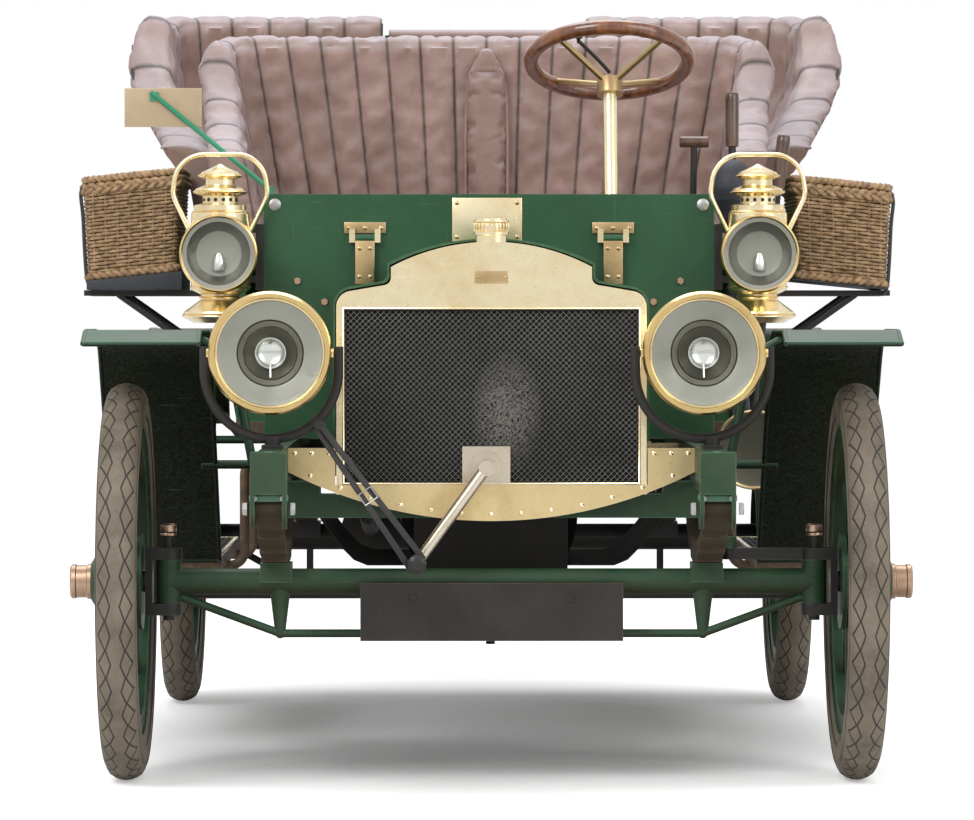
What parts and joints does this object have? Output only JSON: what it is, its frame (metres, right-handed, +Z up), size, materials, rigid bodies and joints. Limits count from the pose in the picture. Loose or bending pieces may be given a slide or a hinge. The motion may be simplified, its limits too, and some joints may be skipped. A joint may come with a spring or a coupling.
{
  "type": "brass era rear-entrance tonneau car",
  "caption": "Open brass era tonneau car with a tall brass radiator, wooden spoked wheels, leather seats, oil lamps and wicker baskets.",
  "frame": {"origin": "on the ground below the middle of the wheelbase, on the car's centre line", "axes": "+Z up, -Y forward, +X the car's left side"},
  "size_m": [1.764, 3, 1.5919],
  "materials": {
    "body_green": "old gloss enamel, scratched",
    "fender_green": "dull enamel, dusty",
    "chassis_green": "worn enamel",
    "black_iron": "satin black, oily",
    "spring_steel": "rusty brown",
    "engine_iron": "oily casting",
    "brass": "polished, dented",
    "core_black": "dark mesh",
    "nickel": "worn plating",
    "glass": "clear",
    "leather": "pleated, creased",
    "strap_leather": "worn black strap",
    "floor_wood": "boards",
    "rim_wood": "varnished red-brown",
    "wicker": "woven cane",
    "rubber": "blue-black",
    "tyre": "dusty road tyre",
    "plate_black": "black, rust-spotted, blank",
    "bronze": "tan back plate"
  },
  "bodies": {
    "chassis": {"frame": "chassis_green", "springs": "spring_steel", "front_axle": "chassis_green", "rear_axle": "black_iron", "engine": "engine_iron", "gearbox": "engine_iron", "exhaust": "engine_iron", "radiator_shell": "brass", "radiator_core": "core_black", "radiator_apron": "brass", "starting_handle": "nickel", "crank_strap": "strap_leather", "dash": "body_green", "bonnet_hinges": "brass", "floor": "floor_wood", "front_seat_tub": "body_green", "front_seat_trim": "leather", "seat_cushions": "leather", "tonneau_body": "body_green", "tonneau_trim": "leather", "front_fenders": "fender_green", "rear_fenders": "fender_green", "running_boards": "floor_wood", "headlamps": "brass", "side_lamps": "brass", "lamp_glasses": "glass", "lamp_irons": "black_iron", "horn": "brass", "horn_bulb": "rubber", "steering_column": "brass", "hand_levers": "black_iron", "mirror": "bronze", "number_plate": "plate_black", "baskets": "wicker", "basket_carriers": "black_iron"},
    "knuckle_left": {"knuckle_left": "black_iron"},
    "knuckle_right": {"knuckle_right": "black_iron"},
    "tie_rod": {"tie_rod": "black_iron"},
    "drag_link": {"drag_link": "chassis_green"},
    "drop_arm": {"drop_arm": "black_iron"},
    "steering_wheel": {"steering_wheel": "rim_wood", "steering_spider": "brass"},
    "bonnet": {"bonnet": "body_green"},
    "rear_door": {"rear_door": "body_green"},
    "basket_lid_left": {"basket_lid_left": "wicker"},
    "basket_lid_right": {"basket_lid_right": "wicker"},
    "wheel_front_left": {"wheel_front_left": "chassis_green", "tyre_front_left": "tyre"},
    "wheel_front_right": {"wheel_front_right": "chassis_green", "tyre_front_right": "tyre"},
    "wheel_rear_left": {"wheel_rear_left": "chassis_green", "tyre_rear_left": "tyre"},
    "wheel_rear_right": {"wheel_rear_right": "chassis_green", "tyre_rear_right": "tyre"}
  },
  "joints": [
    {"name": "steer_left", "type": "hinge", "parent": "chassis", "child": "knuckle_left", "pos_m": [0.62, -1.05, 0.381], "axis": [0, 0, 1], "range_deg": [-25, 25]},
    {"name": "steer_right", "type": "hinge", "parent": "chassis", "child": "knuckle_right", "pos_m": [-0.62, -1.05, 0.381], "axis": [0, 0, 1], "range_deg": [-25, 25]},
    {"name": "tie_rod_pivot", "type": "hinge", "parent": "knuckle_left", "child": "tie_rod", "pos_m": [0.62, -0.92, 0.352], "axis": [0, 0, 1], "range_deg": [-25, 25]},
    {"name": "drag_link_pivot", "type": "hinge", "parent": "knuckle_left", "child": "drag_link", "pos_m": [0.457, -1.05, 0.4566], "axis": [0, 0, 1], "range_deg": [-25, 25]},
    {"name": "drop_arm_swing", "type": "hinge", "parent": "chassis", "child": "drop_arm", "pos_m": [0.44, -0.35, 0.6], "axis": [-1, 0, 0], "range_deg": [-25, 25]},
    {"name": "steering_wheel_turn", "type": "hinge", "parent": "chassis", "child": "steering_wheel", "pos_m": [0.256, -0.05, 1.43], "axis": [0, 0.3746, 0.9272], "range_deg": [-225, 225]},
    {"name": "bonnet_lift", "type": "hinge", "parent": "chassis", "child": "bonnet", "pos_m": [0.255, -0.34, 1.05], "axis": [-1, 0, 0], "range_deg": [0, 80]},
    {"name": "rear_door_swing", "type": "hinge", "parent": "chassis", "child": "rear_door", "pos_m": [-0.2395, 1.49, 1.15], "axis": [0, 0, 1], "range_deg": [0, 100]},
    {"name": "basket_lid_left_lift", "type": "hinge", "parent": "chassis", "child": "basket_lid_left", "pos_m": [0.662, 0.403, 1.2103], "axis": [0, -1, 0], "range_deg": [0, 80]},
    {"name": "basket_lid_right_lift", "type": "hinge", "parent": "chassis", "child": "basket_lid_right", "pos_m": [-0.662, 0.403, 1.2103], "axis": [0, 1, 0], "range_deg": [0, 80]},
    {"name": "wheel_front_left_spin", "type": "hinge", "parent": "knuckle_left", "child": "wheel_front_left", "pos_m": [0.7, -1.05, 0.381], "axis": [1, 0, 0], "continuous": true},
    {"name": "wheel_front_right_spin", "type": "hinge", "parent": "knuckle_right", "child": "wheel_front_right", "pos_m": [-0.7, -1.05, 0.381], "axis": [1, 0, 0], "continuous": true},
    {"name": "wheel_rear_left_spin", "type": "hinge", "parent": "chassis", "child": "wheel_rear_left", "pos_m": [0.7, 1.05, 0.381], "axis": [1, 0, 0], "continuous": true},
    {"name": "wheel_rear_right_spin", "type": "hinge", "parent": "chassis", "child": "wheel_rear_right", "pos_m": [-0.7, 1.05, 0.381], "axis": [1, 0, 0], "continuous": true}
  ],
  "couplings": [
    {"joint": "steer_right", "follows": "steer_left", "ratio": 1},
    {"joint": "tie_rod_pivot", "follows": "steer_left", "ratio": -1},
    {"joint": "drag_link_pivot", "follows": "steer_left", "ratio": -1},
    {"joint": "drop_arm_swing", "follows": "steer_left", "ratio": 1},
    {"joint": "steering_wheel_turn", "follows": "steer_left", "ratio": 9}
  ]
}
